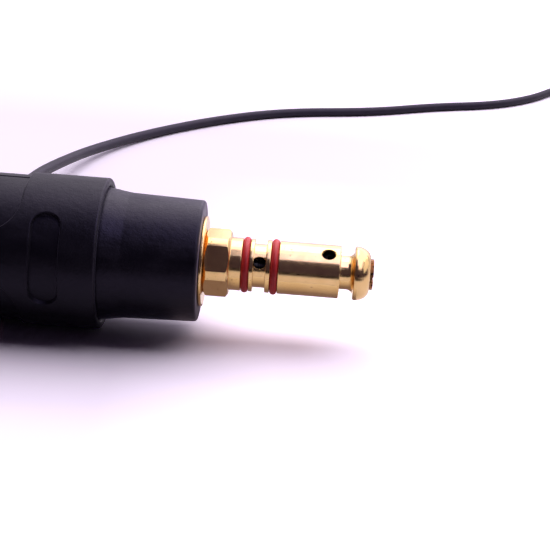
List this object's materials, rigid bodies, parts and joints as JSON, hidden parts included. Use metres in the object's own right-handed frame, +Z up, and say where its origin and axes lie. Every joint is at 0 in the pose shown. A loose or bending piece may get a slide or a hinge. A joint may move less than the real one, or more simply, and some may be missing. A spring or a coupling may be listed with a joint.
{
  "type": "welding torch machine plug",
  "caption": "Machine end of a MIG welding torch: brass gas and power plug in a black two-part housing, with a trigger lead ending in a control plug.",
  "frame": {"origin": "on the plug's axis, at the rear edge of the plain barrel, just in front of the front seal", "axes": "+X along the plug's axis out of its nose, +Z up with the housing lying on its side on a surface at z = -25.5 mm, the trigger lead leaving towards +Y"},
  "size_m": [0.4248, 0.5587, 0.051],
  "materials": {
    "machined_brass": "satin",
    "red_silicone": "satin",
    "black_nylon": "matte",
    "black_rubber": "matte",
    "lead_jacket": "satin",
    "zinc_steel": "satin",
    "liner_steel": "satin",
    "splice_vinyl": "gloss",
    "wire_insulation": "gloss",
    "tie_nylon": "satin",
    "contact_brass": "satin"
  },
  "bodies": {
    "root": {"power_pin": "machined_brass", "liner_nut": "machined_brass", "connector_block": "machined_brass", "cable_cone": "machined_brass", "cable_cone_nut": "machined_brass", "front_o_ring": "red_silicone", "rear_o_ring": "red_silicone", "liner_grub_screw": "zinc_steel", "wire_liner": "liner_steel", "nose_boot": "black_rubber", "near_shell": "black_nylon", "far_shell": "black_nylon", "shell_screws": "zinc_steel", "inlet_bushing": "black_rubber", "lead_grommet": "black_rubber", "lead_inner_end": "lead_jacket", "signal_wires": "wire_insulation", "wire_splices": "splice_vinyl", "trigger_lead": "lead_jacket", "trigger_lead_coil": "lead_jacket", "trigger_lead_tail": "lead_jacket", "lead_tie": "tie_nylon", "plug_shell": "black_nylon", "plug_insert": "black_nylon", "plug_contacts": "contact_brass", "plug_clamp_bar": "black_nylon", "plug_clamp_screws": "zinc_steel"},
    "ring": {"locking_ring": "black_nylon"},
    "coupling": {"plug_coupling_ring": "black_nylon"}
  },
  "joints": [
    {"name": "ring_twist", "type": "hinge", "parent": "root", "child": "ring", "pos_m": [-0.07, 0, 0], "axis": [-1, 0, 0], "range_deg": [0, 40]},
    {"name": "coupling_spin", "type": "hinge", "parent": "root", "child": "coupling", "pos_m": [0.243, 0.42, -0.0115], "axis": [0, -1, 0], "continuous": true}
  ]
}
